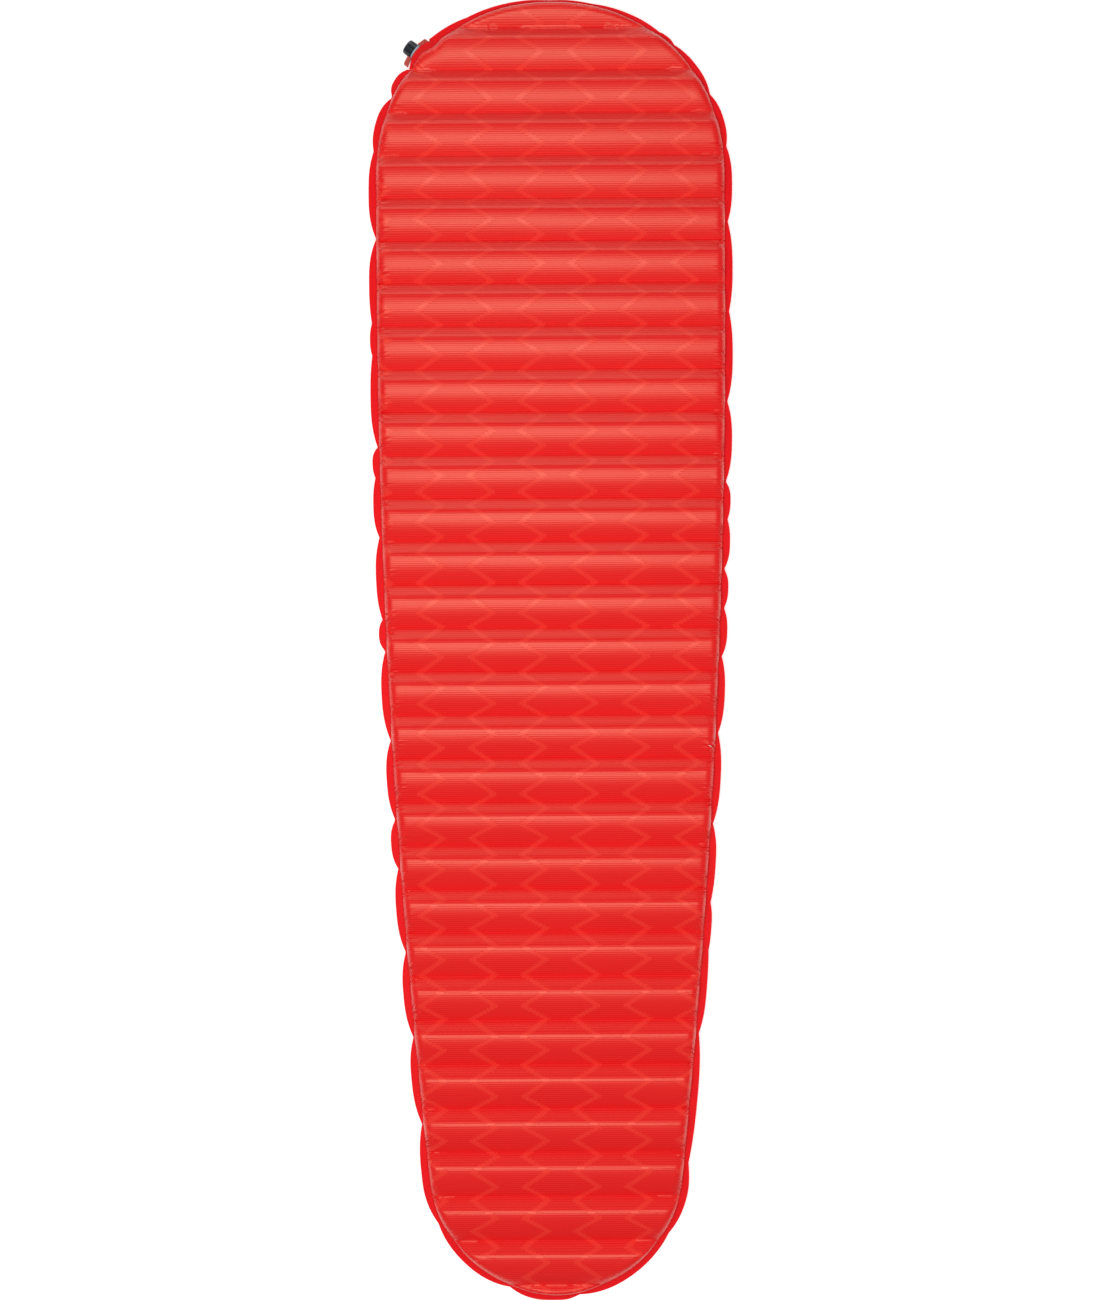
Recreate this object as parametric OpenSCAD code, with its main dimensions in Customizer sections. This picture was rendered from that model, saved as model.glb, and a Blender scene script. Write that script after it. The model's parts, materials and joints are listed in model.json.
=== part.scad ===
// Self-inflating sleeping pad: two laminated skins welded round their edge over a
// slit foam core, with a winged one-way valve welded into the head-end corner.
// Origin: middle of the footprint, on the ground. +Y runs to the head, +X to the
// sleeper's right when the pad is seen from above with the head up, +Z up.

/* [Pad] */
// Overall length, head tip to foot tip
pad_l = 1830; // [1760:10:1960]
// Greatest overall width, over the weld flange
pad_w = 510; // [490:5:560]
// Width where the foot curve starts
foot_w = 374; // [340:2:420]
// Inflated thickness over the ridges
pad_h = 50; // [48:1:60]
// Length of the head curve along Y
head_r = 253; // [230:1:270]
// Length of the foot curve along Y
foot_r = 166; // [150:1:190]
// Thickness of each laminated skin
skin_t = 0.5; // [0.4:0.1:0.8]
// Width of the flat weld flange
flange = 7.5; // [6:0.5:10]

/* [Ridges] */
// Number of transverse valleys
ridges = 30; // [28:1:31]
// Distance from one valley to the next at the head
pitch = 59.58; // [58:0.01:60]
// Growth of that distance per ridge towards the foot
pitch_grow = 0.093; // [0:0.001:0.1]
// Depth of the valleys in the top surface
top_wave = 13; // [8:0.5:16]
// Depth of the valleys in the underside
under_wave = 9; // [5:0.5:12]
// Depth of the angled slits in the foam below each valley
slit_d = 15; // [8:1:16]
// Width of the angled slits
slit_w = 3; // [2:0.5:5]

/* [Valve] */
// Direction of the valve axis in plan, anticlockwise from +X
valve_az = 142.5; // [140:0.5:148]
// Outside radius of the ribbed cap
cap_r = 10.6; // [10.4:0.1:10.8]
// Number of grip ribs on the cap
cap_ribs = 20; // [16:1:22]
// Turn that opens the cap
cap_turn = 150; // [120:5:155]
// Height the cap rises as it opens
cap_lift = 3.5; // [3:0.1:3.6]
// Radius to the tip of each wing
wing_r = 24.5; // [20:0.5:24.5]
// Angle of the left wing above the weld plane, valve shut
wing_rest = 14; // [0:1:30]
// Turn of the wings between one-way and open
wing_turn = 90; // [60:5:95]
// Travel of the plunger over that turn
plunger_travel = 2.5; // [1.5:0.1:2.5]

/* [Hidden] */
$fn = 64;

zw = pad_h / 2;              // height of the weld plane
yh = pad_l / 2 - head_r;     // where the head curve starts
yf = -pad_l / 2 + foot_r;    // where the foot curve starts
taper_y = 0.57 * pad_l / 2;  // the sides taper from here to the foot
taper = (pad_w - foot_w) / 2 / pow(taper_y - yf, 2);
gap = 0.3;                   // bond line between foam and skins
rim_gap = 3;                 // air left between the foam's side and the rolled edge
hn = 16; sn = 12; fn2 = 12;  // points on the head curve, each side and the foot curve

// ---- outline of the pad, inset by d ----
function side(y) = pad_w / 2 - taper * pow(max(0, taper_y - y), 2);
function round_off(t, n) = pow(max(0, 1 - pow(min(1, max(0, t)), n)), 1 / n);
function half_at(y, d) = (side(y) - d) *
    (y > yh ? round_off((y - yh) / (head_r - d), 2.15)
            : y < yf ? round_off((yf - y) / (foot_r - d), 2) : 1);
function stations(d) = concat(
    [for (i = [0:hn]) yh + (head_r - d) * cos(90 * i / hn)],
    [for (i = [1:sn - 1]) yh + (yf - yh) * i / sn],
    [for (i = [0:fn2]) yf - (foot_r - d) * sin(90 * i / fn2)]);
function ring(d) = let (y = stations(d), n = len(y)) concat(
    [for (i = [0:n - 1]) [half_at(y[i], d), y[i]]],
    [for (i = [n - 2:-1:1]) [-half_at(y[i], d), y[i]]]);

// A closed pillow-sided solid through rings [inset, height], lowest first.
module rings(levels) {
    n = len(ring(0));
    m = len(levels);
    pts = [for (l = levels) for (p = ring(l[0])) [p[0], p[1], l[1]]];
    lower = [for (i = [1:n - 2]) [0, i + 1, i]];
    upper = [for (i = [1:n - 2]) [(m - 1) * n, (m - 1) * n + i, (m - 1) * n + i + 1]];
    walls = [for (k = [0:m - 2]) for (i = [0:n - 1]) let (j = (i + 1) % n)
        each [[k * n + i, k * n + j, (k + 1) * n + j],
              [k * n + i, (k + 1) * n + j, (k + 1) * n + i]]];
    polyhedron(points = pts, faces = concat(lower, upper, walls), convexity = 4);
}

// Edge roll of a skin: how far in it has come at each height above the weld plane.
function roll(a, h) = [[flange + a, 0], [flange + 1.6 + a, 0.36 * h], [flange + 5 + a, 0.65 * h],
                       [flange + 12 + a, 0.87 * h], [flange + 24 + a, 1.03 * h]];
function roll_low(a, h) = concat([[flange + a, -2]], roll(a, h));

// ---- ridge profile ----
function crease(k) = 0.4446 * pad_l - (pitch - pitch_grow / 2) * k - pitch_grow / 2 * k * k;
function along(k, t) = crease(k) - t * (crease(k) - crease(k + 1));
// height above the weld plane over one pitch, from one crease towards the foot
top_shape = [[0, 1], [0.25, 0.12], [0.33, 0], [0.5, 0.07], [0.68, 0.29], [0.85, 0.63]];
under_shape = [[0.1, 0], [0.3, 0.55], [0.5, 1], [0.7, 0.55], [0.9, 0]];
function top_line(drop) = [for (k = [-2:ridges - 1]) for (s = top_shape)
    [along(k, s[0]), zw - top_wave * s[1] - drop]];
function under_line(drop) = [for (k = [-2:ridges - 1]) for (s = under_shape)
    [along(k, s[0]), zw - under_wave * s[1] - drop]];
// the same lines with the foam's angled slit cut in at each valley
function foam_top(drop) = [for (k = [-2:ridges - 1]) for (s = top_shape)
    let (y = along(k, s[0]), z = zw - top_wave * s[1] - drop)
    each (s[0] == 0 ? [[y + slit_w / 2, z], [y + slit_w / 2 + slit_d * 0.45, z - slit_d],
                       [y - slit_w / 2 + slit_d * 0.45, z - slit_d], [y - slit_w / 2, z]]
                    : [[y, z]])];
function foam_under(drop) = [for (k = [-2:ridges - 1]) for (s = under_shape)
    let (y = along(k, s[0]), z = zw - under_wave * s[1] - drop)
    each (s[0] == 0.5 ? [[y + slit_w / 2, z], [y + slit_w / 2 - slit_d * 0.45, z - slit_d],
                         [y - slit_w / 2 - slit_d * 0.45, z - slit_d], [y - slit_w / 2, z]]
                      : [[y, z]])];
module across(points) translate([-pad_w, 0, zw]) rotate([90, 0, 90]) linear_extrude(2 * pad_w) polygon(points);

// Closed profile from a ridge line down to just past the weld plane.
function closed(line) = concat([[line[0][0], -4]], line, [[line[len(line) - 1][0], -4]]);

// ---- valve placing ----
vd = [cos(valve_az), sin(valve_az)];
vy = pad_l / 2 - 73.4;
vx = -half_at(vy, 0) + 0.2;
module at_valve() translate([vx, vy, zw]) rotate([0, 90, valve_az]) children();
boat_w = 28;       // half width of the welded boat
boat_h = 10.7;     // half height of the welded boat
boat_r = (boat_w * boat_w + boat_h * boat_h) / (2 * boat_h);
nose_r = 52;       // plan radius of the outline round the valve
face_s = -1.2;     // where the skins and the boat end along the valve axis

// Lens section of the boat, grown by g, from s0 to s1 along the valve axis.
module lens(g, s0, s1) translate([0, 0, s0]) linear_extrude(s1 - s0) intersection() {
    translate([boat_r - boat_h, 0]) circle(boat_r + g, $fn = 120);
    translate([boat_h - boat_r, 0]) circle(boat_r + g, $fn = 120);
}
// Upright drum that rounds the outline at the valve, in valve coordinates.
module nose(g) translate([-60, 0, face_s - nose_r]) rotate([0, 90, 0]) cylinder(r = nose_r + g, h = 120, $fn = 180);

// ---- skins: a is the ridge line's function result, h its full height ----
module skin(outer, inner) {
    difference() {
        union() {
            intersection() { across(closed(outer)); translate([0, 0, zw]) rings(roll(0, zw)); }
            translate([0, 0, zw]) linear_extrude(skin_t) difference() {
                union() {
                    polygon(ring(0));
                    translate([vx + (face_s - nose_r) * vd[0], vy + (face_s - nose_r) * vd[1]])
                        circle(nose_r, $fn = 180);
                }
                polygon(ring(flange + 1.2));
            }
            intersection() {
                at_valve() lens(skin_t + 0.1, -22, 0);
                at_valve() nose(0);
                translate([0, 0, zw]) translate([-pad_w, -pad_l, 0]) cube([2 * pad_w, 2 * pad_l, 40]);
            }
        }
        intersection() { across(closed(inner)); translate([0, 0, zw]) rings(roll_low(skin_t, zw)); }
        at_valve() lens(0.1, -40, 6);
    }
}
module top_skin() color([0.90, 0.20, 0.16]) skin(top_line(0), top_line(skin_t));
module bottom_skin() color([0.80, 0.12, 0.12])
    translate([0, 0, 2 * zw]) mirror([0, 0, 1]) skin(under_line(0), under_line(skin_t));

// ---- foam ----
module foam_core() color([0.93, 0.90, 0.80]) {
    a = skin_t + gap;
    up = roll(a + rim_gap, zw);
    difference() {
        intersection() {
            across(let (u = foam_under(a), n = len(u))
                concat(foam_top(a), [for (i = [n - 1:-1:0]) [u[i][0], -u[i][1]]]));
            translate([0, 0, zw]) rings(concat([for (i = [4:-1:1]) [up[i][0], -up[i][1]]], up));
        }
        at_valve() lens(1, -30, 20);
        // relief that lets air reach the valve
        at_valve() translate([-60, -36, -42]) cube([120, 72, 80]);
    }
}

// ---- valve: s runs outward along the axis ----
module tube(ro, ri, s0, s1) translate([0, 0, s0]) difference() {
    cylinder(r = ro, h = s1 - s0);
    translate([0, 0, -1]) cylinder(r = ri, h = s1 - s0 + 2);
}
module disc(r, s0, s1) translate([0, 0, s0]) cylinder(r = r, h = s1 - s0);
module o_ring(r, s, w) translate([0, 0, s]) rotate_extrude() translate([r, 0]) circle(w, $fn = 32);
// A helical groove from angle a0 up to a1, running from s0 to s1, between radii r0 and r1.
module helix(a0, a1, s0, s1, r0, r1, hw) {
    n = ceil(abs(a1 - a0) / 7.5);
    pts = [for (i = [0:n]) let (a = a0 + (a1 - a0) * i / n, s = s0 + (s1 - s0) * i / n)
        each [[r0 * cos(a), r0 * sin(a), s - hw], [r1 * cos(a), r1 * sin(a), s - hw],
              [r1 * cos(a), r1 * sin(a), s + hw], [r0 * cos(a), r0 * sin(a), s + hw]]];
    walls = [for (i = [0:n - 1]) for (j = [0:3]) let (p = i * 4 + j, q = i * 4 + (j + 1) % 4)
        each [[p, q, q + 4], [p, q + 4, p + 4]]];
    ends = [[0, 2, 1], [0, 3, 2], [4 * n, 4 * n + 1, 4 * n + 2], [4 * n, 4 * n + 2, 4 * n + 3]];
    polyhedron(points = pts, faces = concat(walls, ends), convexity = 6);
}
module sector(r0, r1, a0, a1, s0, s1) translate([0, 0, s0]) rotate([0, 0, a0])
    rotate_extrude(angle = a1 - a0) translate([r0, 0]) square([r1 - r0, s1 - s0]);

bore_r = 7.9;        // bore of the welded base
stem_r = 7.83;       // stem that turns in it
neck_r = 7.5;        // neck that the cap turns on
way_r = 6.1;         // airway
pin_a = 60;          // direction of the cam pin, valve shut
pin_s = -9.3;        // place of the cam pin along the axis
lug_s = 11;          // place of the neck's lugs
lug_a = 7;           // half angle of a lug
stop_a = 200;        // place of the stop lug

module valve_base() color([0.72, 0.78, 0.80]) at_valve() difference() {
    union() {
        intersection() { lens(0, -21.9, face_s - 0.05); nose(-0.1); }
        disc(boat_h, -8, face_s - 0.05);
    }
    disc(bore_r, -30, 5);
    // cam grooves that push the plunger in as the wings turn
    for (f = [0, 180]) helix(pin_a + f - 9.5, pin_a + f + wing_turn + 9.5,
        pin_s + plunger_travel * 9.5 / wing_turn, pin_s - plunger_travel * (1 + 9.5 / wing_turn),
        7.5, 8.95, 1.2);
    // slot that limits the turn
    sector(8.4, 10, stop_a - 7, stop_a + wing_turn + 7, face_s - 1.1, 1);
}

module valve_stem() color([0.66, 0.76, 0.80]) at_valve() difference() {
    union() {
        disc(stem_r, -23.6, 0.6);
        disc(10.9, 0.5, 2.1);
        disc(neck_r, 2, 12.4);
        for (f = [0, 180]) sector(neck_r - 0.6, 8.5, f - lug_a, f + lug_a, lug_s - 0.7, lug_s + 0.7);
    }
    disc(way_r, -24, -15.5);
    disc(4.3, -16, -13.5);
    disc(way_r, -14, 13);
    for (s = [-4.5, -19.5]) tube(12, 6.8, s - 0.75, s + 0.75);
    tube(12, 7.1, -23.1, -22.1);
    // ways for the cam pin
    rotate([0, 0, pin_a]) translate([-8.5, -1.15, pin_s - plunger_travel - 1.15])
        cube([17, 2.3, plunger_travel + 2.3]);
    // keyway for the wing collar
    rotate([0, 0, 20]) translate([7.1, -1, face_s - 0.2]) cube([2, 2, 1.65]);
}
module outer_o_ring() color([0.13, 0.13, 0.14]) at_valve() o_ring(7.35, -4.5, 0.52);
module inner_o_ring() color([0.13, 0.13, 0.14]) at_valve() o_ring(7.35, -19.5, 0.52);
module retaining_ring() color([0.80, 0.80, 0.82]) at_valve() difference() {
    tube(9, 7.15, -23.05, -22.15);
    rotate([0, 0, 45]) translate([0, -1.5, -24]) cube([12, 3, 3]);
}

// A swept wing, standing out along +X: radius, then place along the axis.
module wing() {
    translate([0, 2.2, 0]) rotate([90, 0, 0]) linear_extrude(4.4)
        polygon([[11.6, 5.6], [11.6, -0.9], [wing_r - 0.8, -4.3], [wing_r, -3.6], [wing_r, 2.4], [wing_r - 0.8, 3.2], [12.6, 5.6]]);
    translate([9.2, -4, face_s + 0.1]) cube([3.4, 8, 1.55]);
    for (i = [0:3]) translate([0, 2.6, 0]) rotate([90, 0, 0]) linear_extrude(5.2)
        polygon([[13.4, 4.2 - 1.6 * i], [13.4, 3.4 - 1.6 * i], [wing_r - 1.4, 1.2 - 1.6 * i], [wing_r - 1.4, 2.0 - 1.6 * i]]);
}
module wing_collar() color([0.86, 0.36, 0.30]) at_valve() {
    difference() {
        union() {
            disc(10.2, face_s + 0.05, 0.45);
            for (f = [0, 180]) rotate([0, 0, 90 + wing_rest + f]) wing();
            sector(8.6, 9.8, stop_a - 5, stop_a + 5, face_s - 0.95, face_s + 0.2);
        }
        disc(stem_r + 0.02, -3, 3);
    }
    rotate([0, 0, 20]) translate([7.2, -0.9, face_s + 0.05]) cube([1.2, 1.8, 1.3]);
}

module plunger() color([0.30, 0.32, 0.35]) at_valve() difference() {
    union() {
        disc(1.5, -19.4, -7.4);
        disc(2.3, -15.5, -14.4);
        disc(2.7, pin_s - 1.9, pin_s + 1.9);
    }
    translate([0, 0, pin_s]) rotate([0, 0, pin_a]) rotate([0, 90, 0]) translate([0, 0, -5]) cylinder(r = 1.02, h = 10);
}
module cam_pin() color([0.80, 0.80, 0.82]) at_valve()
    translate([0, 0, pin_s]) rotate([0, 0, pin_a]) rotate([0, 90, 0]) translate([0, 0, -8.6]) cylinder(r = 1, h = 17.2);
module check_disc() color([0.92, 0.93, 0.90]) at_valve() tube(5.5, 1.65, -16.75, -15.6);
module disc_keeper() color([0.30, 0.32, 0.35]) at_valve() difference() {
    disc(2.4, -19.9, -18.7);
    disc(1.52, -19.41, -18);
}
module filter_screen() color([0.55, 0.57, 0.60]) at_valve() difference() {
    disc(6.05, -23.5, -22.6);
    for (r = [2, 4.3]) for (a = [0:360 / round(r * 2.8):359]) rotate([0, 0, a]) translate([r, 0, -24]) cylinder(r = 0.7, h = 3, $fn = 24);
}

// Post that closes the mouth when the cap is down, on three ribs.
module mouth_plug() color([0.30, 0.32, 0.35]) at_valve() {
    tube(6.05, 5.2, 8.6, 10.6);
    disc(2.4, 8.6, 12.8);
    for (a = [0, 120, 240]) rotate([0, 0, a]) translate([1.5, -0.7, 8.6]) cube([4.1, 1.4, 2]);
    difference() {
        disc(3.7, 12.7, 15.6);
        tube(6, 3, 13.9, 14.9);
    }
}
module mouth_o_ring() color([0.13, 0.13, 0.14]) at_valve() o_ring(3.48, 14.4, 0.44);
module cap_gasket() color([0.13, 0.13, 0.14]) at_valve() tube(7.5, 4.7, 12.5, 13.55);

// Gear-like grip section of the cap.
function grip() = [for (i = [0:cap_ribs - 1]) for (q = [[0.0, 0], [0.12, 0.7], [0.38, 0.7], [0.5, 0]])
    let (a = (i + q[0]) * 360 / cap_ribs, r = cap_r - 0.75 + q[1]) [r * cos(a), r * sin(a)]];
module valve_cap() color([0.13, 0.15, 0.18]) at_valve() difference() {
    union() {
        disc(cap_r - 0.1, 2.4, 3.8);
        disc(cap_r - 0.75, 3.6, 12);
        disc(cap_r, 11.9, 14.1);
        disc(cap_r - 2, 14, 16.1);
        rotate_extrude() intersection() {
            translate([cap_r - 2, 14.1]) circle(2);
            translate([cap_r - 2.1, 14]) square([4, 4]);
        }
        translate([0, 0, 3.7]) linear_extrude(8.3) polygon(grip());
    }
    disc(4, 12, 20);
    disc(neck_r + 0.15, 2, 13.65);
    disc(8.9, 2, 6.2);
    for (f = [0, 180]) helix(f - cap_turn - lug_a - 2, f + lug_a + 2,
        lug_s - cap_lift * (1 + 9 / cap_turn), lug_s + cap_lift * 9 / cap_turn, neck_r - 0.3, 8.75, 1.05);
}

top_skin();
bottom_skin();
foam_core();
valve_base();
valve_stem();
outer_o_ring();
inner_o_ring();
retaining_ring();
wing_collar();
plunger();
cam_pin();
check_disc();
disc_keeper();
filter_screen();
mouth_plug();
mouth_o_ring();
cap_gasket();
valve_cap();
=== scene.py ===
import bpy
import json
import math
import random
import numpy as np
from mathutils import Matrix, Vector
from mathutils.geometry import delaunay_2d_cdt


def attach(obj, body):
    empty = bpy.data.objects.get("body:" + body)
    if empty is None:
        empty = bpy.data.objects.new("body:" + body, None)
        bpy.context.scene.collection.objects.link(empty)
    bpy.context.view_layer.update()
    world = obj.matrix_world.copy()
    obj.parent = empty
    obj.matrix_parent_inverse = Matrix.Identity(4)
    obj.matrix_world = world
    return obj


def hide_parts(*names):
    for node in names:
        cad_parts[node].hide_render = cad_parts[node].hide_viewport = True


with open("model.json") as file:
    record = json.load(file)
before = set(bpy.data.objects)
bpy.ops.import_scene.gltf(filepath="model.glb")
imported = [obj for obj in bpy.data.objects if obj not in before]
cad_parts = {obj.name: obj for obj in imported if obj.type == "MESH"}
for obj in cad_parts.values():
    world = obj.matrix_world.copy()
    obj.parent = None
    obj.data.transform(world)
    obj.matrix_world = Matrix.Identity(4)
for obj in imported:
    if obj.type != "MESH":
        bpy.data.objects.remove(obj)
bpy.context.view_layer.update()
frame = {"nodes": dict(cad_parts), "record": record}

# ------------------------------------------------------------------ outline, in mm
PL, PW, FW, HR, FR = 1830.0, 510.0, 374.0, 253.0, 166.0
YH, YF = PL / 2 - HR, -PL / 2 + FR
TY = 0.57 * PL / 2
TP = (PW - FW) / 2 / (TY - YF) ** 2
ZW = 25.0


def side(y):
    return PW / 2 - TP * np.maximum(0.0, TY - y) ** 2


def half(y):
    y = np.asarray(y, float)
    h = np.ones_like(y)
    up, dn = y > YH, y < YF
    h[up] = np.maximum(0, 1 - np.minimum(1, (y[up] - YH) / HR) ** 2.15) ** (1 / 2.15)
    h[dn] = np.sqrt(np.maximum(0, 1 - np.minimum(1, (YF - y[dn]) / FR) ** 2))
    return side(y) * h


def smooth(t):
    t = np.clip(t, 0, 1)
    return t * t * (3 - 2 * t)


a = np.radians(np.linspace(0, 90, 1600))
yd = np.concatenate([YH + HR * np.cos(a), np.linspace(YH, YF, 5000)[1:-1], YF - FR * np.sin(a)])
xd = half(yd)
sd = np.concatenate([[0], np.cumsum(np.hypot(np.diff(xd), np.diff(yd)))])
S = sd[-1]
tx, ty_ = np.gradient(xd, sd), np.gradient(yd, sd)
ang = np.unwrap(np.arctan2(-ty_, tx) - math.pi / 2)      # 0 at the sides, -90 at the head tip
ang = -(np.arctan2(tx, -ty_))
# outward normal of the right side is (-ty, tx); on the long sides it is turned to run straight across
nxd, nyd = -ty_, tx
flat = smooth((yd - (YF + 20)) / 160) * smooth((YH - 5 - yd) / 60 + 1)
keep = np.where(yd > YH, 1.0, 1 - flat)
nyd = nyd * keep
ln = np.hypot(nxd, nyd)
nxd, nyd = nxd / ln, nyd / ln


def crease(k):
    return 813.618 - 59.5335 * k - 0.0465 * k * k


def phase(y):
    k = (-59.5335 + np.sqrt(59.5335 ** 2 - 4 * 0.0465 * (np.asarray(y, float) - 813.618))) / 0.093
    return k


# ------------------------------------------------------------------ ridge profiles
Y = np.arange(-960, 960, 0.25)
T = np.mod(phase(Y), 1.0)
W = np.where(T < 0.25, 1 - 0.88 * T / 0.25,
             np.where(T < 0.33, 18.75 * (0.33 - T) ** 2, (np.clip(T - 0.33, 0, 1) / 0.67) ** 2.0))
V = np.interp(T, [0, 0.1, 0.3, 0.5, 0.7, 0.9, 1.0], [0, 0, 0.55, 1, 0.55, 0, 0])


def blur(v, sig):
    n = int(4 * sig / 0.25)
    g = np.exp(-0.5 * (np.arange(-n, n + 1) * 0.25 / sig) ** 2)
    return np.convolve(np.pad(v, n, mode="edge"), g / g.sum(), mode="valid")


NEAR = smooth((np.minimum(T, 1 - T) - 0.015) / 0.09)
W = W * (1 - NEAR) + blur(W, 1.7) * NEAR
V = blur(V, 3.2)
TOP_WAVE, UNDER_WAVE = 13.0, 9.0


def edge_rise(q, r=14.0, p=2.6):
    u = np.clip(q / r, 0, 1)
    return (1 - (1 - u) ** p) ** (1 / p)


# ------------------------------------------------------------------ valve frame
AZ = math.radians(142.5)
D = np.array([math.cos(AZ), math.sin(AZ)])
LAT = np.array([-math.sin(AZ), math.cos(AZ)])
VY = PL / 2 - 73.4
VX = -float(half([VY])[0]) + 0.2


def valve_sl(x, y):
    dx, dy = x - VX, y - VY
    return dx * D[0] + dy * D[1], dx * LAT[0] + dy * LAT[1]


# ------------------------------------------------------------------ scalloped rim
LEFT = [(-60, 2.5), (120, 1.2), (235, 5.9), (280, 9), (363, 4.2), (487, 9.4), (606, 2.6), (651, 2.5), (780, 7.6),
        (823, 3.2), (907, 6.2), (1023, 5.7), (1067, 7.6), (1193, 8.2), (1305, 7.4), (1374, 6.7),
        (1492, 7.8), (1612, 7.7), (1735, 7.5), (1880, 3.5), (2020, 5.8), (2125, 4.7)]
RIGHT = [(-120, 1.2), (60, 0.5), (164, 1.1), (192, 2.4), (280, 4.4), (358, 3.9), (465, 5.5), (591, 4.3), (718, 6.3),
         (831, 6.9), (884, 3.3), (954, 6.3), (1009, 4.9), (1077, 5.5), (1185, 6), (1313, 6.4),
         (1424, 2.7), (1491, 0.7), (1608, 5.2), (1792, 3.1), (1897, 2.4), (2056, 4.7), (2160, 5.8)]


def rim(s, notches):
    ns = np.array([n[0] for n in notches], float)
    nd = np.array([n[1] for n in notches], float)
    i = np.clip(np.searchsorted(ns, s, side="right") - 1, 0, len(ns) - 2)
    t = (s - ns[i]) / (ns[i + 1] - ns[i])
    d = np.where(t < 0.5, nd[i], nd[i + 1])
    lobe = np.where(ns[i + 1] - ns[i] > 60, 1.0, 0.4)
    return -lobe + (d + lobe) * np.abs(1 - 2 * t) ** 2.6


def weld(s, left):
    w = np.interp(s, [0, 60, 150, 400, 1900, 2090], [5.5, 6.6, 9.8, 9.8, 9.7, 9.2]) if left else \
        np.interp(s, [0, 60, 200, 400, 1900, 2090], [5.5, 5.8, 7.6, 9.7, 9.6, 9.2])
    return w


FL = np.array([0, 0.14, 0.34, 0.56, 0.78, 0.93])
QS = np.array([0, 0.6, 1.3, 2.2, 3.3, 4.6, 6.1, 7.8, 9.8, 12.0, 14.5, 17.5, 21, 25.5])
NF = len(FL)


def rows():
    """The rim's rows, once round: right side from head to foot, then left side back."""
    sh, sf = float(np.interp(-YH, -yd, sd)), float(np.interp(-YF, -yd, sd))
    k0, k1 = float(phase([YH])[0]), float(phase([YF])[0])
    kk = np.arange(math.ceil(k0 * 40), math.floor(k1 * 40) + 1) / 40.0
    body = np.interp(-crease(kk), -yd, sd)
    nh = int(body[0] / 2.0)
    nh += (nh + math.ceil(k0 * 40)) % 2          # keeps every crease on an even row
    head = np.linspace(0, body[0], nh + 1)[:-1]
    foot = np.linspace(body[-1], S, int((S - body[-1]) / 2.0) + 1)[1:]
    right = np.concatenate([head, body, foot])
    hl = [0.0]
    while hl[-1] < body[0] - 1.2:
        near = min(1.0, max(0.0, (abs(hl[-1] - 209) - 40) / 25))
        hl.append(hl[-1] + 0.9 + 1.1 * near)
    if (len(hl) + nh) % 2 == 0:
        hl.insert(1, hl[1] / 2)
    left = np.concatenate([np.array(hl), body[1:], foot])
    s = np.concatenate([right, left[-2:0:-1]])
    sgn = np.concatenate([np.ones(len(right)), -np.ones(len(left) - 2)])
    return s, sgn


S_ROW, SGN = rows()
N = len(S_ROW)
OX, OY = np.interp(S_ROW, sd, xd) * SGN, np.interp(S_ROW, sd, yd)
NX, NY = np.interp(S_ROW, sd, nxd) * SGN, np.interp(S_ROW, sd, nyd)
ln = np.hypot(NX, NY)
NX, NY = NX / ln, NY / ln
EDGE = np.where(SGN > 0, rim(S_ROW, RIGHT), rim(S_ROW, LEFT))
WELD = np.where(SGN > 0, weld(S_ROW, False), weld(S_ROW, True))
tip = smooth(S_ROW / 30.0)
EDGE = EDGE * tip + 0.2 * (1 - tip)
end = smooth((S - S_ROW) / 30.0)
EDGE = EDGE * end + 0.0 * (1 - end)
vs, vl = valve_sl(OX, OY)
near_valve = (SGN < 0) & (np.abs(vl) < 75) & (OY > 700)
WELD = WELD + np.where(near_valve, 3.7 * np.exp(-((vl + 23) / 13) ** 2) + 1.5 * np.exp(-((vl - 24) / 9) ** 2), 0)
for i in np.where(near_valve & (np.abs(vl) < 32))[0]:
    ds = np.arange(-3, 12, 0.05)
    s_, l_ = valve_sl(OX[i] - NX[i] * ds, OY[i] - NY[i] * ds)
    nr = np.where(l_ < 0, 68.0, 52.0)
    room = np.where(np.abs(l_) < 26.2, -1.15 - (nr - np.sqrt(np.maximum(0, nr ** 2 - l_ ** 2))), 1e9)
    ok = np.where((s_ <= room) & (ds >= (EDGE[i] if abs(vl[i]) > 24 else -3)))[0]
    EDGE[i] = ds[ok[0]]
EDGE = np.minimum(EDGE, WELD - 0.6)

rng = random.Random(11)
CREASES = [k for k in range(-1, 28)]


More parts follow.
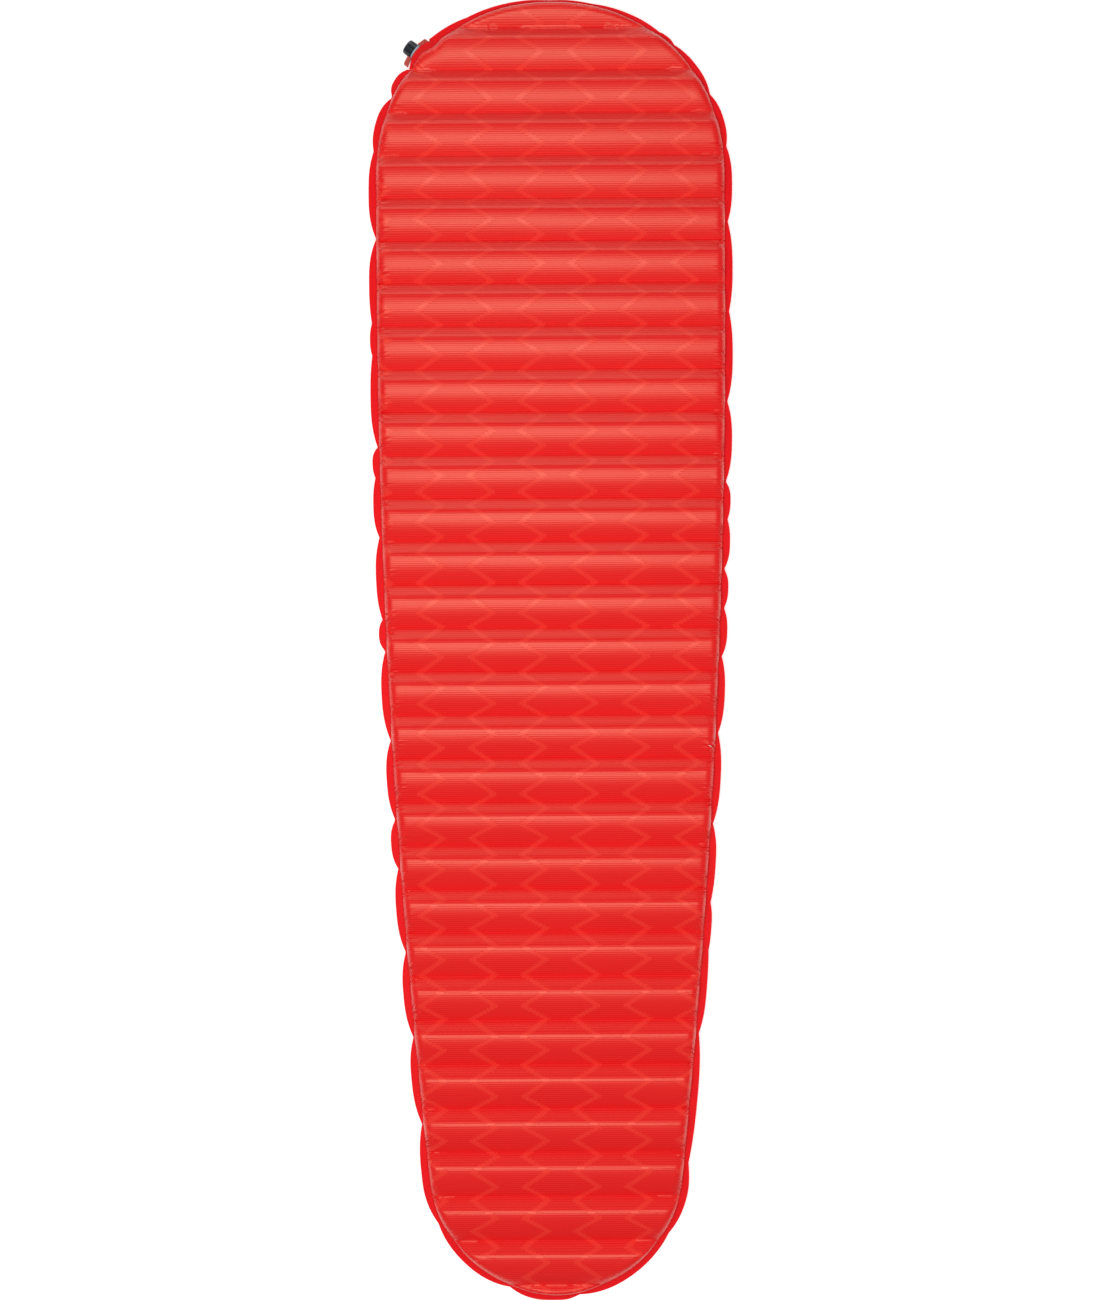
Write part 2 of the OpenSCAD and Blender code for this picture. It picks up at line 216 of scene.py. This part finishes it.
def pucker_list(under):
    out = []
    for sg in (1, -1):
        for k in CREASES:
            yk = crease(k)
            if yk > 905 or yk < -905:
                continue
            sk = float(np.interp(-yk, -yd, sd))
            end_zone = yk > 700 or yk < -790
            n = 3 if end_zone else 7
            if under:
                sk -= 30 * (1 if not end_zone else 0.4)
            for j in range(n):
                off = (-17.5, -12.5, -8.6, -4.6, 2.6, 6.6, 11.0)[j] if not end_zone else (-10, -4.5, 5)[j]
                off += rng.uniform(-1.6, 1.6)
                swing = (-6.5 if off < 0 else -2.0) + rng.uniform(-2, 2)
                depth = rng.choice((0.7, 1.2, 1.7, 2.1)) * (0.5 if end_zone else 1.0)
                out.append((sg, sk + off, swing, depth, rng.uniform(0.9, 1.5), rng.uniform(5.0, 11.0)))
            crest = sk + 0.40 * 59.5
            if not end_zone:
                for off in (-8.5, -3.5, 4.5):
                    if rng.random() < 0.8:
                        out.append((sg, crest + off + rng.uniform(-1.5, 1.5), rng.uniform(0.5, 3.5) * (-1 if off > 0 else 1),
                                    rng.uniform(0.3, 0.8), rng.uniform(1.0, 1.5), rng.uniform(5, 10)))
    # a few finer ones round the two ends
    for sg in (1, -1):
        for s0 in np.arange(20, 400, 17):
            out.append((sg, s0 + rng.uniform(-6, 6), rng.uniform(-3, 3), rng.uniform(0.12, 0.4), rng.uniform(1.0, 1.8), rng.uniform(4, 9)))
        for s0 in np.arange(S - 270, S - 8, 15):
            out.append((sg, s0 + rng.uniform(-6, 6), rng.uniform(-3, 3), rng.uniform(0.15, 0.5), rng.uniform(1.0, 1.8), rng.uniform(4, 9)))
    return out


def puckers(q, under):
    """Depth of the gathers at each rim point; q is (rows, columns)."""
    out = np.zeros_like(q)
    for sg, s0, swing, depth, w, length in pucker_list(under):
        sel = np.where((SGN == sg) & (np.abs(S_ROW - s0) < abs(swing) + 8))[0]
        if not len(sel):
            continue
        qq = np.maximum(q[sel], 0)
        c = s0 + swing * (1 - np.exp(-qq / 7.0))
        u = (S_ROW[sel][:, None] - c) / w
        env = smooth(qq / 2.2) * np.exp(-(np.maximum(0, qq - 3) / length) ** 2) * smooth((22 - qq) / 6)
        out[sel] += env * depth * (-np.exp(-u ** 2) + 0.62 * np.exp(-((u + 2.0) / 1.1) ** 2) + 0.2 * np.exp(-((u - 2.1) / 1.2) ** 2))
    return out


def drift(x, y, under):
    """Slow unevenness of the foam-backed panels."""
    return 0.28 * np.sin(x / 61.0 + 1.3 * np.sin(y / 170.0)) * np.cos(y / 43.0 + x / 150.0) * (0.6 if under else 1.0)


def band(under):
    q = np.concatenate([np.repeat(-1.0, NF)[None, :].repeat(N, 0), QS[None, :].repeat(N, 0)], 1)
    d = np.concatenate([EDGE[:, None] + (WELD - EDGE)[:, None] * FL[None, :], WELD[:, None] + QS[None, :]], 1)
    x, y = OX[:, None] - NX[:, None] * d, OY[:, None] - NY[:, None] * d
    qc = np.maximum(q, 0)
    wave = (UNDER_WAVE * np.interp(y, Y, V)) if under else (TOP_WAVE * np.interp(y, Y, W))
    full = 24.55 + (0 if under else 0.25) - wave
    vs_, vl_ = valve_sl(x, y)
    nv = near_valve[:, None] * np.exp(-(vl_ / 18.0) ** 2)
    rise = edge_rise(qc)
    dd = d - WELD[:, None] + 5.5
    rise_v = edge_rise(np.maximum(dd, 0), 30.0, 2.3)
    rise = rise * (1 - nv) + rise_v * nv
    h = 0.5 + rise * full
    lens = np.where(np.abs(vl_) < 28, np.sqrt(np.maximum(0, 41.98 ** 2 - np.minimum(28, np.abs(vl_)) ** 2)) - 31.28,
                    (28 - np.abs(vl_)) * 0.9) + 0.58
    lens = np.where(near_valve[:, None], np.maximum(lens, -12), -12.0)
    k = 0.9
    h = np.maximum(0.5, (h + lens + np.sqrt((h - lens) ** 2 + k * k)) / 2 - 0.02)
    pts = np.stack([x, y, h], -1)
    di = np.roll(pts, -1, 0) - np.roll(pts, 1, 0)
    dj = np.gradient(pts, axis=1)
    nrm = np.cross(dj, di)
    nrm /= np.maximum(1e-9, np.linalg.norm(nrm, axis=-1, keepdims=True))
    nrm *= np.sign(nrm[..., 2:3] + 1e-12)
    nrm[:, :NF] = nrm[:, :NF] * (h[:, :NF, None] > 0.8) + np.array([0, 0, 1.0]) * (h[:, :NF, None] <= 0.8)
    p = puckers(q, under) * (1 - 0.8 * nv) * (0.8 if under else 1.0)
    # wrinkles over the fabric neck of the valve
    for l0, amp, slant in ((-19, 0.5, 0.10), (-12, 0.35, 0.06), (-4.5, 0.25, 0.0), (5, 0.3, -0.05), (11, 0.5, -0.12), (16, 0.7, -0.2), (21, 0.6, -0.3)):
        lc = l0 + slant * (vs_ + 2)
        p += near_valve[:, None] * (1.3 * amp) * np.exp(-((vl_ - lc) / 1.3) ** 2) * smooth((-2.0 - vs_) / 4) * smooth((vs_ + 26) / 12)
    calm = pts - nrm * (0.45 + 1.7 * smooth(qc / 1.2) * smooth((22 - qc) / 5))[..., None]
    # the inside of the laminate keeps under the folds round the valve
    z = calm[..., 2]
    low_z = z.copy()
    for a in (-2, -1, 0, 1, 2):
        r = np.roll(z, a, 0)
        for b in (-2, -1, 0, 1, 2):
            c = r[:, np.clip(np.arange(z.shape[1]) + b, 0, z.shape[1] - 1)]
            low_z = np.minimum(low_z, c)
    col = np.arange(z.shape[1])[None, :]
    use = near_valve[:, None] * (np.abs(vl_) < 45) * (col >= 2)
    ends = ((y > 640) | (y < -550)) & (qc > 6)
    calm[..., 2] = np.where((use > 0) | ends, low_z - 0.4 * (col >= NF), z)
    pts = pts + nrm * p[..., None]
    pts[..., 2] = np.maximum(pts[..., 2], 0.5)
    # foam-backed unevenness fades in over the wall
    pts[..., 2] += drift(pts[..., 0], pts[..., 1], under) * smooth((qc - 6) / 12) * (0 if under else 1)
    return pts, calm


PH = [0, .025, .05, .1, .15, .2, .25, .3, .35, .375, .4, .425, .45, .5, .55, .6, .65, .7, .75, .8, .85, .9, .95, .975]


def inside_points(ring, step, phs):
    """Points across the pad inside the rim band, in rows that follow the ridges."""
    rx, ry = ring[:, 0], ring[:, 1]
    pts = []
    top, low = ry.max() - 3, ry.min() + 3
    for k in range(-3, 31):
        for p in phs:
            y = crease(k) - p * (crease(k) - crease(k + 1))
            if not low < y < top:
                continue
            # crossings of the ring with this row
            y0, y1 = ry, np.roll(ry, -1)
            hit = np.where((y0 - y) * (y1 - y) <= 0)[0]
            if len(hit) < 2:
                continue
            x0, x1 = rx[hit], np.roll(rx, -1)[hit]
            t = (y - y0[hit]) / np.where(np.abs(y1[hit] - y0[hit]) < 1e-9, 1e-9, y1[hit] - y0[hit])
            xs = np.sort(x0 + np.clip(t, 0, 1) * (x1 - x0))
            xl, xr = xs[0], xs[-1]
            if xr - xl < 9:
                continue
            row = [xl + 3.2, xl + 8, xl + 16]
            inner = np.linspace(xl + 26, xr - 26, max(2, int((xr - xl - 52) / step) + 1)) if xr - xl > 60 else []
            row = [v for v in row if v < (xl + xr) / 2 - 2] + list(inner) + [xr - (v - xl) for v in row if v < (xl + xr) / 2 - 2]
            pts += [(v, y) for v in row]
    pts = np.array(pts)
    # keep clear of the ring's own points
    keep = np.ones(len(pts), bool)
    for i in range(0, len(pts), 2000):
        d2 = ((pts[i:i + 2000, None, :] - ring[None, ::2, :2]) ** 2).sum(-1).min(1)
        keep[i:i + 2000] = d2 > 2.0 ** 2
    return pts[keep]


def fill(ring, inner, squeeze):
    """Triangles across the middle; x is squeezed so that rows along the ridges join only to the next row."""
    vs2 = [Vector((float(p[0]) * squeeze, float(p[1]))) for p in ring[:, :2]] + [Vector((float(p[0]) * squeeze, float(p[1]))) for p in inner]
    n = len(ring)
    r = delaunay_2d_cdt(vs2, [], [list(range(n))], 1, 1e-7)
    co, faces, orig = r[0], r[2], r[3]
    back = [o[0] if o else -1 for o in orig]
    tri = []
    for f in faces:
        t = [back[i] for i in f]
        if min(t) < 0:
            continue
        p = [vs2[i] for i in t]
        area = (p[1].x - p[0].x) * (p[2].y - p[0].y) - (p[1].y - p[0].y) * (p[2].x - p[0].x)
        if abs(area) < 1e-6:
            continue
        tri.append(t if area > 0 else [t[0], t[2], t[1]])
    return tri


def make_skin(name, under):
    sgn = -1.0 if under else 1.0
    pts, calm = band(under)
    M = pts.shape[1]
    verts = [pts.reshape(-1, 3)]
    faces, mats = [], []
    idx = lambda i, j: (i % N) * M + j
    # the rows run clockwise seen from above
    for i in range(N):
        for j in range(M - 1):
            faces.append((idx(i, j), idx(i, j + 1), idx(i + 1, j + 1), idx(i + 1, j)))
            mats.append(1 if j < NF else 0)
    ring = pts[:, -1]
    cover = inside_points(ring, 13.0, PH)
    wave = (UNDER_WAVE * np.interp(cover[:, 1], Y, V)) if under else (TOP_WAVE * np.interp(cover[:, 1], Y, W))
    cz = 0.5 + 24.55 + (0 if under else 0.25) - wave + drift(cover[:, 0], cover[:, 1], under) * (0 if under else 1)
    base = N * M
    verts.append(np.column_stack([cover, cz]))
    ring_id = [idx(i, M - 1) for i in range(N)]
    name_of = ring_id + [base + i for i in range(len(cover))]
    for t in fill(ring, cover, 0.22):
        faces.append(tuple(name_of[v] for v in t))
        mats.append(0)
    outer_faces = len(faces)
    # inner face of the laminate, coarser
    count = base + len(cover)
    cols = [0, 2, 4] + [NF + c for c in (0, 1, 3, 5, 6, 8, 10, 12, 13)]
    ev = np.arange(0, N, 2)
    NI, MI = len(ev), len(cols)
    ip = calm[ev][:, cols]
    ip[..., 2] = np.maximum(ip[..., 2], 0.03)
    verts.append(ip.reshape(-1, 3))
    iid = lambda i, j: count + (i % NI) * MI + j
    for i in range(NI):
        for j in range(MI - 1):
            faces.append((iid(i, j), iid(i + 1, j), iid(i + 1, j + 1), iid(i, j + 1)))
            mats.append(2)
    iring = ip[:, -1]
    icover = inside_points(iring, 26.0, [0, .05, .12, .2, .28, .35, .4, .45, .52, .6, .7, .8, .9, .96])
    wave = (UNDER_WAVE * np.interp(icover[:, 1], Y, V)) if under else (TOP_WAVE * np.interp(icover[:, 1], Y, W))
    iz = 24.55 + (0 if under else 0.25) - wave - 0.3 + drift(icover[:, 0], icover[:, 1], under) * (0 if under else 1)
    for i in range(len(icover)):
        if not -550 < icover[i, 1] < 640:
            near = math.sqrt(((iring[:, :2] - icover[i]) ** 2).sum(-1).min())
            iz[i] -= 3.0 * max(0.0, 1 - near / 22.0)
    ibase = count + NI * MI
    verts.append(np.column_stack([icover, iz]))
    iname = [iid(i, MI - 1) for i in range(NI)] + [ibase + i for i in range(len(icover))]
    for t in fill(iring, icover, 0.15):
        faces.append(tuple(iname[v] for v in reversed(t)))
        mats.append(2)
    # close the cut edge of the laminate
    for i in range(NI):
        o0, o1, o2 = idx(2 * i, 0), idx(2 * i + 1, 0), idx(2 * i + 2, 0)
        if 2 * i + 1 >= N:
            faces.append((iid(i, 0), o0, iid(i + 1, 0)))
            mats.append(1)
            continue
        last = (2 * i + 2) % N
        faces.append((iid(i, 0), o0, o1))
        mats.append(1)
        faces.append((iid(i, 0), o1, iid(i + 1, 0)))
        mats.append(1)
        if 2 * i + 2 <= N - 1 or N % 2 == 0:
            faces.append((iid(i + 1, 0), o1, o2))
            mats.append(1)
    vv = np.concatenate(verts)
    vv[:, 2] = ZW + sgn * vv[:, 2]
    if under:
        faces = [tuple(reversed(f)) for f in faces]
    me = bpy.data.meshes.new(name)
    me.from_pydata((vv / 1000.0).tolist(), [], faces)
    me.update()
    me.polygons.foreach_set("material_index", mats)
    me.polygons.foreach_set("use_smooth", [True] * len(faces))
    me.set_sharp_from_angle(angle=math.radians(50))
    ob = bpy.data.objects.new(name, me)
    bpy.context.scene.collection.objects.link(ob)
    tri = sum(len(f) - 2 for f in faces)
    print("SKIN", name, "rows", N, "faces", len(faces), "tris", tri)
    return ob


def make_foam(name):
    """The foam slab inside the skins, with the ridges pressed into both faces."""
    ev = np.arange(0, N, 2)
    NI = len(ev)
    cols = [NF + c for c in (9, 11, 13)]
    verts, faces, rim_ids = [], [], []
    count = 0
    for under in (False, True):
        pts, calm = band(under)
        g = pts[ev][:, cols].copy()
        g[..., 2] = np.maximum(g[..., 2] - 3.4, 3.0)
        g[:, 0, 2] = np.maximum(g[:, 0, 2] - 3.0, 2.0)
        # relief that lets air reach the valve and the plunger move
        for i in range(NI):
            if not near_valve[ev[i]]:
                continue
            for j in range(len(cols)):
                s_, l_ = valve_sl(g[i, j, 0], g[i, j, 1])
                if abs(l_) < 36 and s_ > -61 - 3 * j:
                    g[i, j, :2] += D * (-61 - 3 * j - s_)
                    w = (UNDER_WAVE * np.interp(g[i, j, 1], Y, V)) if under else (TOP_WAVE * np.interp(g[i, j, 1], Y, W))
                    g[i, j, 2] = 24.55 - w - 3.4 - (3.0 if j == 0 else 0.0)
        ring = g[:, -1]
        cover = inside_points(ring, 26.0, [0, .05, .12, .2, .28, .35, .4, .45, .52, .6, .7, .8, .9, .96])
        s_, l_ = valve_sl(cover[:, 0], cover[:, 1])
        cover = cover[(s_ < -70) | (np.abs(l_) > 40)]
        wave = (UNDER_WAVE * np.interp(cover[:, 1], Y, V)) if under else (TOP_WAVE * np.interp(cover[:, 1], Y, W))
        cz = 24.55 - wave - 0.9
        vv = np.concatenate([g.reshape(-1, 3), np.column_stack([cover, cz])])
        vv[:, 2] = ZW + (-vv[:, 2] if under else vv[:, 2])
        M = len(cols)
        fid = lambda i, j: count + (i % NI) * M + j
        part = []
        for i in range(NI):
            for j in range(M - 1):
                part.append((fid(i, j), fid(i, j + 1), fid(i + 1, j + 1), fid(i + 1, j)))
        ids = [fid(i, M - 1) for i in range(NI)] + [count + NI * M + i for i in range(len(cover))]
        part += [tuple(ids[v] for v in t) for t in fill(ring, cover, 0.15)]
        faces += [tuple(reversed(f)) for f in part] if under else part
        rim_ids.append([fid(i, 0) for i in range(NI)])
        verts.append(vv)
        count += len(vv)
    for i in range(NI):
        a0, a1 = rim_ids[0][i], rim_ids[0][(i + 1) % NI]
        b0, b1 = rim_ids[1][i], rim_ids[1][(i + 1) % NI]
        faces.append((a0, a1, b1, b0))
    me = bpy.data.meshes.new(name)
    me.from_pydata((np.concatenate(verts) / 1000.0).tolist(), [], faces)
    me.update()
    me.polygons.foreach_set("use_smooth", [True] * len(faces))
    me.set_sharp_from_angle(angle=math.radians(50))
    ob = bpy.data.objects.new(name, me)
    bpy.context.scene.collection.objects.link(ob)
    return ob


# ------------------------------------------------------------------ materials
def new_mat(name):
    m = bpy.data.materials.new(name)
    m.use_nodes = True
    nt = m.node_tree
    bs = nt.nodes["Principled BSDF"]
    return m, nt, bs


def node(nt, kind, **kw):
    n = nt.nodes.new(kind)
    for k, v in kw.items():
        setattr(n, k, v)
    return n


def math_node(nt, op, a, b=None, clamp=False):
    n = nt.nodes.new("ShaderNodeMath")
    n.operation = op
    n.use_clamp = clamp
    for i, v in enumerate((a, b)):
        if v is None:
            continue
        if isinstance(v, (int, float)):
            n.inputs[i].default_value = v
        else:
            nt.links.new(v, n.inputs[i])
    return n.outputs[0]


def mix_col(nt, fac, c1, c2):
    n = nt.nodes.new("ShaderNodeMix")
    n.data_type = "RGBA"
    if isinstance(fac, (int, float)):
        n.inputs[0].default_value = fac
    else:
        nt.links.new(fac, n.inputs[0])
    for sock, c in ((n.inputs[6], c1), (n.inputs[7], c2)):
        if isinstance(c, tuple):
            sock.default_value = (*c, 1)
        else:
            nt.links.new(c, sock)
    return n.outputs[2]


def set_in(bs, **kw):
    for k, v in kw.items():
        bs.inputs[k.replace("_", " ")].default_value = v


RIB = 0.00296


def fabric(name, dark, light, band_c, rough, sheen, zig=True, rib_h=0.00012, spec=0.5, contrast=1.0):
    """Ribbed laminate: lines across the pad, with zigzag bands where the ribs are left out."""
    m, nt, bs = new_mat(name)
    co = node(nt, "ShaderNodeTexCoord")
    sep = node(nt, "ShaderNodeSeparateXYZ")
    nt.links.new(co.outputs["Object"], sep.inputs[0])
    x, y = sep.outputs[0], sep.outputs[1]
    yr = math_node(nt, "DIVIDE", y, RIB)
    row = math_node(nt, "FLOOR", yr)
    fr = math_node(nt, "SUBTRACT", yr, row)
    wave = math_node(nt, "COSINE", math_node(nt, "MULTIPLY", fr, 2 * math.pi))
    line = math_node(nt, "MULTIPLY", math_node(nt, "ADD", math_node(nt, "MULTIPLY", wave, 0.5), 0.5), 1.0)
    line = math_node(nt, "POWER", line, 1.6)
    mask = line
    if zig:
        yq = math_node(nt, "MULTIPLY", math_node(nt, "ADD", row, 0.5), RIB)
        # phase of the zigzag down the pad, 0 at a left apex of the even columns
        ph = math_node(nt, "DIVIDE", math_node(nt, "SUBTRACT", 0.8562, yq), 0.0423)
        ph = math_node(nt, "FRACT", ph)
        up = math_node(nt, "DIVIDE", ph, 0.453)
        dn = math_node(nt, "DIVIDE", math_node(nt, "SUBTRACT", 1.0, ph), 0.547)
        tri = math_node(nt, "SUBTRACT", math_node(nt, "MULTIPLY", math_node(nt, "MINIMUM", up, dn), 2.0), 1.0)
        cx = math_node(nt, "DIVIDE", math_node(nt, "SUBTRACT", x, -0.0282), 0.0718)
        col = math_node(nt, "ROUND", cx)
        par = math_node(nt, "MULTIPLY", math_node(nt, "FRACT", math_node(nt, "ABSOLUTE", math_node(nt, "MULTIPLY", col, 0.5))), 2.0)
        flip = math_node(nt, "SUBTRACT", 1.0, math_node(nt, "MULTIPLY", par, 2.0))
        local = math_node(nt, "MULTIPLY", math_node(nt, "SUBTRACT", cx, col), 0.0718)
        off = math_node(nt, "ABSOLUTE", math_node(nt, "SUBTRACT", local, math_node(nt, "MULTIPLY", math_node(nt, "MULTIPLY", tri, flip), 0.0165)))
        inband = math_node(nt, "MULTIPLY", math_node(nt, "SUBTRACT", 0.0056, off), 1200.0, True)
        mask = math_node(nt, "MULTIPLY", line, math_node(nt, "SUBTRACT", 1.0, inband))
    # very soft unevenness of the dye
    nz = node(nt, "ShaderNodeTexNoise")
    nz.inputs["Scale"].default_value = 9.0
    nz.inputs["Detail"].default_value = 2.0
    nt.links.new(co.outputs["Object"], nz.inputs["Vector"])
    base = mix_col(nt, math_node(nt, "MULTIPLY", mask, contrast), light, dark)
    if zig:
        base = mix_col(nt, inband, base, band_c)
    tone = node(nt, "ShaderNodeHueSaturation")
    nt.links.new(base, tone.inputs["Color"])
    nt.links.new(math_node(nt, "ADD", math_node(nt, "MULTIPLY", nz.outputs[0], 0.06), 0.97), tone.inputs["Value"])
    nt.links.new(tone.outputs[0], bs.inputs["Base Color"])
    # the rib relief and a fine weave
    weave = node(nt, "ShaderNodeTexNoise")
    weave.inputs["Scale"].default_value = 900.0
    weave.inputs["Detail"].default_value = 1.0
    nt.links.new(co.outputs["Object"], weave.inputs["Vector"])
    hgt = math_node(nt, "ADD", math_node(nt, "MULTIPLY", mask, -1.0), math_node(nt, "MULTIPLY", weave.outputs[0], 0.25))
    bump = node(nt, "ShaderNodeBump")
    bump.inputs["Strength"].default_value = 0.6
    bump.inputs["Distance"].default_value = rib_h
    nt.links.new(hgt, bump.inputs["Height"])
    nt.links.new(bump.outputs[0], bs.inputs["Normal"])
    set_in(bs, Roughness=rough)
    bs.inputs["Specular IOR Level"].default_value = spec
    bs.inputs["Specular Tint"].default_value = (1.0, 0.92, 0.64, 1)
    bs.inputs["Sheen Weight"].default_value = sheen
    bs.inputs["Sheen Roughness"].default_value = 0.4
    bs.inputs["Sheen Tint"].default_value = (1.0, 0.72, 0.62, 1)
    return m


def plain(name, col, rough, spec=0.5, metal=0.0, noise=0.0, scale=300.0, bump=0.0, coat=0.0, trans=0.0):
    m, nt, bs = new_mat(name)
    bs.inputs["Base Color"].default_value = (*col, 1)
    bs.inputs["Roughness"].default_value = rough
    bs.inputs["Specular IOR Level"].default_value = spec
    bs.inputs["Metallic"].default_value = metal
    bs.inputs["Coat Weight"].default_value = coat
    bs.inputs["Transmission Weight"].default_value = trans
    co = node(nt, "ShaderNodeTexCoord")
    nz = node(nt, "ShaderNodeTexNoise")
    nz.inputs["Scale"].default_value = scale
    nz.inputs["Detail"].default_value = 3.0
    nt.links.new(co.outputs["Object"], nz.inputs["Vector"])
    if noise:
        base = mix_col(nt, nz.outputs[0], tuple(c * (1 - noise) for c in col), tuple(min(1, c * (1 + noise)) for c in col))
        nt.links.new(base, bs.inputs["Base Color"])
    if bump:
        b = node(nt, "ShaderNodeBump")
        b.inputs["Strength"].default_value = 0.5
        b.inputs["Distance"].default_value = bump
        nt.links.new(nz.outputs[0], b.inputs["Height"])
        nt.links.new(b.outputs[0], bs.inputs["Normal"])
    return m


M_TOP = fabric("top_fabric", (0.80, 0.004, 0.010), (0.90, 0.018, 0.018), (0.92, 0.030, 0.024), 0.36, 0.0, spec=0.45)
# weld_margin repeats the top fabric in slightly darker reds, which is painted shade on the flat weld margin; it also
# gets less specular and more roughness
M_FLANGE = fabric("weld_margin", (0.74, 0.004, 0.010), (0.86, 0.010, 0.016), (0.8, 0.01, 0.014), 0.55, 0.0, zig=False, rib_h=0.00004, contrast=0.6, spec=0.10)
M_INNER = plain("laminate_inside", (0.72, 0.66, 0.62), 0.6, noise=0.05, scale=200)
M_BASE = plain("base_fabric", (0.46, 0.016, 0.018), 0.5, noise=0.06, scale=700, bump=0.00006)
M_BASE_FL = plain("base_weld_margin", (0.42, 0.010, 0.014), 0.5, noise=0.04, scale=500, bump=0.00004)
MATS = {
    "foam": plain("foam", (0.86, 0.80, 0.62), 0.95, spec=0.15, noise=0.12, scale=900, bump=0.0004),
    "weld_plastic": plain("weld_plastic", (0.45, 0.52, 0.55), 0.45, noise=0.03, scale=120, bump=0.00002),
    "stem_plastic": plain("stem_plastic", (0.36, 0.52, 0.60), 0.33, noise=0.03, scale=150, bump=0.00001),
    "wing_plastic": plain("wing_plastic", (0.56, 0.075, 0.050), 0.42, noise=0.06, scale=260, bump=0.00003),
    "cap_plastic": plain("cap_plastic", (0.008, 0.013, 0.019), 0.34, spec=0.6, noise=0.08, scale=300, bump=0.00002),
    "inner_plastic": plain("inner_plastic", (0.075, 0.085, 0.10), 0.5, noise=0.05, scale=200, bump=0.00001),
    "seal_rubber": plain("seal_rubber", (0.006, 0.006, 0.0065), 0.55, noise=0.05, scale=400, bump=0.00001),
    "silicone": plain("silicone", (0.74, 0.76, 0.70), 0.35, noise=0.02, scale=100, bump=0.00001),
    "pin_steel": plain("pin_steel", (0.62, 0.62, 0.64), 0.25, metal=1.0, noise=0.03, scale=900, bump=0.000005),
}
slot_of = {s["node"]: s["material_slot"] for s in frame["record"]["subparts"]}
for name, ob in frame["nodes"].items():
    if slot_of.get(name) in MATS:
        ob.data.materials.clear()
        ob.data.materials.append(MATS[slot_of[name]])
        for p in ob.data.polygons:
            p.material_index = 0

# ------------------------------------------------------------------ the two skins
top = make_skin("pad_top", False)
for m in (M_TOP, M_FLANGE, M_INNER):
    top.data.materials.append(m)
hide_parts("top_skin")
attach(top, "pad")
low = make_skin("pad_base", True)
for m in (M_BASE, M_BASE_FL, M_INNER):
    low.data.materials.append(m)
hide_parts("bottom_skin")
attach(low, "pad")

core = make_foam("pad_foam")
core.data.materials.append(MATS["foam"])
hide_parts("foam_core")
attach(core, "pad")

# ------------------------------------------------------------------ studio
floor_me = bpy.data.meshes.new("floor")
floor_me.from_pydata([(-6, -6, -0.001), (6, -6, -0.001), (6, 6, -0.001), (-6, 6, -0.001)], [], [(0, 1, 2, 3)])
floor = bpy.data.objects.new("floor", floor_me)
bpy.context.scene.collection.objects.link(floor)
fm, fnt, fbs = new_mat("studio_floor")
fbs.inputs["Base Color"].default_value = (0.9, 0.9, 0.9, 1)
fbs.inputs["Roughness"].default_value = 0.9
fbs.inputs["Emission Color"].default_value = (1, 1, 1, 1)
fbs.inputs["Emission Strength"].default_value = 0.5
floor_me.materials.append(fm)


def area(name, loc, target, sx, sy, power, col=(1, 1, 1)):
    d = bpy.data.lights.new(name, "AREA")
    d.shape = "RECTANGLE"
    d.size, d.size_y, d.energy, d.color = sx, sy, power, col
    o = bpy.data.objects.new(name, d)
    o.location = loc
    o.rotation_euler = (Vector(target) - Vector(loc)).to_track_quat("-Z", "Y").to_euler()
    bpy.context.scene.collection.objects.link(o)
    return o


area("softbox", (-0.18, -0.45, 3.3), (-0.18, -0.44, 0.0), 1.5, 0.7, 44)
head = area("head_light", (-0.35, 1.75, 0.55), (0, 0.25, 0.03), 1.7, 0.45, 7.5)
head.visible_diffuse = False        # a strip that only shows in the sheen
over = area("overhead", (-0.3, 0.45, 3.5), (-0.1, 0.1, 0.0), 2.6, 2.6, 50)
over.visible_glossy = False         # a scrim for even colour

world = bpy.data.worlds.new("studio")
bpy.context.scene.world = world
world.use_nodes = True
world.node_tree.nodes["Background"].inputs[0].default_value = (1, 1, 1, 1)
world.node_tree.nodes["Background"].inputs[1].default_value = 0.22

cam_d = bpy.data.cameras.new("camera")
cam_d.sensor_width = 36
cam_d.lens = 36 * 3.1 / 1.83
cam = bpy.data.objects.new("camera", cam_d)
cam.location = (-0.0042, 0.0, 3.125)
cam.rotation_euler = (0, 0, math.radians(-0.33))
bpy.context.scene.collection.objects.link(cam)
bpy.context.scene.camera = cam

vset = bpy.context.scene.view_settings
vset.view_transform = "Standard"
vset.look = "None"
vset.exposure = 0.0
vset.gamma = 1.0
